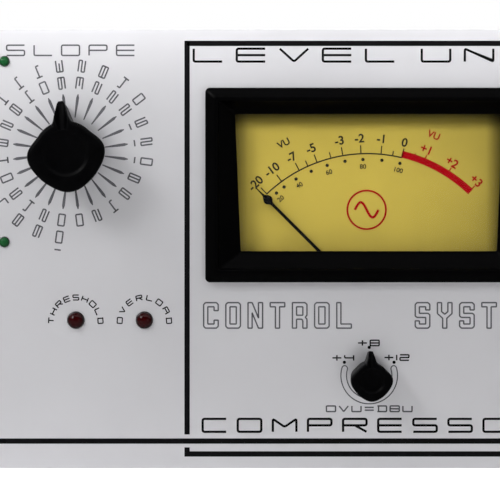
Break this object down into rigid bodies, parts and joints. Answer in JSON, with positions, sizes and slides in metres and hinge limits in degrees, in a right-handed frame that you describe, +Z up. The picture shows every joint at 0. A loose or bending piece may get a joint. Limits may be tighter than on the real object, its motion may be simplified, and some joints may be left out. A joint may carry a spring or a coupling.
{
  "type": "rack compressor",
  "caption": "Rack mount audio compressor with stepped dial controls, moving coil level meter, toggles, lamps, chassis and rear connectors.",
  "frame": {"origin": "centre of the chassis underside", "axes": "+X to the right of the front panel along its length, +Y from the panel towards the rear connectors, +Z up"},
  "size_m": [0.4826, 0.2868, 0.1325],
  "materials": {
    "anodised_aluminium": "satin clear anodised, finely brushed, screen printed",
    "chassis_steel": "zinc plated sheet",
    "fastener_steel": "plated",
    "knob_plastic": "black phenolic",
    "shaft_steel": "turned",
    "switch_housing": "plated",
    "bezel_plastic": "black moulded",
    "window_clear": "clear",
    "dial_paint": "printed olive yellow",
    "magnet_iron": "sintered",
    "movement_brass": "bright",
    "coil_copper": "enamelled copper wire",
    "pointer_paint": "matt black",
    "lamp_board_laminate": "glass epoxy board",
    "red_lens": "tinted epoxy",
    "green_lens": "tinted epoxy",
    "toggle_housing": "moulded, with a plated bushing and nut",
    "toggle_lever_chrome": "chromed",
    "transformer_wrap": "amber polyester tape over wire",
    "transformer_steel": "nickel plated can and bare laminations",
    "capacitor_sleeve": "blue shrink sleeve",
    "heat_sink_aluminium": "black anodised",
    "connector_black": "black die casting",
    "release_tab_steel": "plated",
    "inlet_plastic": "black moulded",
    "fuse_glass": "clear tube with end caps",
    "post_brass": "nickel free",
    "black_ink": "screen printed",
    "grey_ink": "screen printed in fine lines",
    "red_ink": "screen printed",
    "component_epoxy": "moulded",
    "wire_insulation": "coloured sleeve"
  },
  "bodies": {
    "chassis": {"bypass_toggle_body": "toggle_housing", "chassis_tray": "chassis_steel", "detector_card": "lamp_board_laminate", "filter_capacitor_left": "capacitor_sleeve", "filter_capacitor_right": "capacitor_sleeve", "front_panel": "anodised_aluminium", "gain_card": "lamp_board_laminate", "ground_post": "post_brass", "heat_sink": "heat_sink_aluminium", "input_switch": "switch_housing", "input_transformer": "transformer_steel", "input_xlr_socket": "connector_black", "lower_green_lamp": "green_lens", "main_board": "lamp_board_laminate", "meter_bezel": "bezel_plastic", "meter_bridge": "movement_brass", "meter_case": "bezel_plastic", "meter_dial": "dial_paint", "meter_lamp_board": "lamp_board_laminate", "meter_magnet": "magnet_iron", "meter_range_switch": "switch_housing", "meter_window": "window_clear", "output_switch": "switch_housing", "output_transformer": "transformer_steel", "output_xlr_plug": "connector_black", "overload_lamp": "red_lens", "panel_screw_lower_left": "fastener_steel", "panel_screw_lower_right": "fastener_steel", "panel_screw_upper_left": "fastener_steel", "panel_screw_upper_right": "fastener_steel", "power_board": "lamp_board_laminate", "power_inlet": "inlet_plastic", "power_lamp": "red_lens", "power_toggle_body": "toggle_housing", "rear_panel": "chassis_steel", "release_switch": "switch_housing", "slope_switch": "switch_housing", "threshold_lamp": "red_lens", "top_cover": "chassis_steel", "toroid_bolt": "fastener_steel", "toroid_clamp_plate": "chassis_steel", "toroid_winding": "transformer_wrap", "upper_green_lamp": "green_lens"},
    "input_control": {"input_knob": "knob_plastic", "input_shaft": "shaft_steel"},
    "slope_control": {"slope_knob": "knob_plastic", "slope_shaft": "shaft_steel"},
    "release_control": {"release_knob": "knob_plastic", "release_shaft": "shaft_steel"},
    "output_control": {"output_knob": "knob_plastic", "output_shaft": "shaft_steel"},
    "meter_range_control": {"meter_range_knob": "knob_plastic", "meter_range_shaft": "shaft_steel"},
    "pointer": {"meter_pointer": "pointer_paint", "meter_coil": "coil_copper"},
    "power_lever": {"power_toggle_lever": "toggle_lever_chrome"},
    "bypass_lever": {"bypass_toggle_lever": "toggle_lever_chrome"},
    "xlr_tab": {"input_xlr_release_tab": "release_tab_steel"},
    "fuse_carrier": {"fuse_drawer": "inlet_plastic", "fuse": "fuse_glass"}
  },
  "joints": [
    {"name": "input_turn", "type": "hinge", "parent": "chassis", "child": "input_control", "pos_m": [-0.157, -0.129, 0.09415], "axis": [0, 1, 0], "range_deg": [-150, 195]},
    {"name": "slope_turn", "type": "hinge", "parent": "chassis", "child": "slope_control", "pos_m": [-0.0902, -0.129, 0.09415], "axis": [0, 1, 0], "range_deg": [-165, 180]},
    {"name": "release_turn", "type": "hinge", "parent": "chassis", "child": "release_control", "pos_m": [0.0902, -0.129, 0.09415], "axis": [0, 1, 0], "range_deg": [-195, 150]},
    {"name": "output_turn", "type": "hinge", "parent": "chassis", "child": "output_control", "pos_m": [0.157, -0.129, 0.09415], "axis": [0, 1, 0], "range_deg": [-135, 210]},
    {"name": "meter_range_turn", "type": "hinge", "parent": "chassis", "child": "meter_range_control", "pos_m": [0, -0.129, 0.02655], "axis": [0, 1, 0], "range_deg": [-60, 60]},
    {"name": "pointer_swing", "type": "hinge", "parent": "chassis", "child": "pointer", "pos_m": [0, -0.116, 0.04885], "axis": [0, 1, 0], "range_deg": [0, 91]},
    {"name": "power_lever_rock", "type": "hinge", "parent": "chassis", "child": "power_lever", "pos_m": [0.157, -0.1275, 0.04325], "axis": [1, 0, 0], "range_deg": [0, 22]},
    {"name": "bypass_lever_rock", "type": "hinge", "parent": "chassis", "child": "bypass_lever", "pos_m": [-0.157, -0.1275, 0.04325], "axis": [1, 0, 0], "range_deg": [0, 22]},
    {"name": "xlr_tab_press", "type": "slide", "parent": "chassis", "child": "xlr_tab", "axis": [0, 0, -1], "range_m": [0, 0.0016]},
    {"name": "fuse_drawer_pull", "type": "slide", "parent": "chassis", "child": "fuse_carrier", "axis": [0, 1, 0], "range_m": [0, 0.022]}
  ]
}
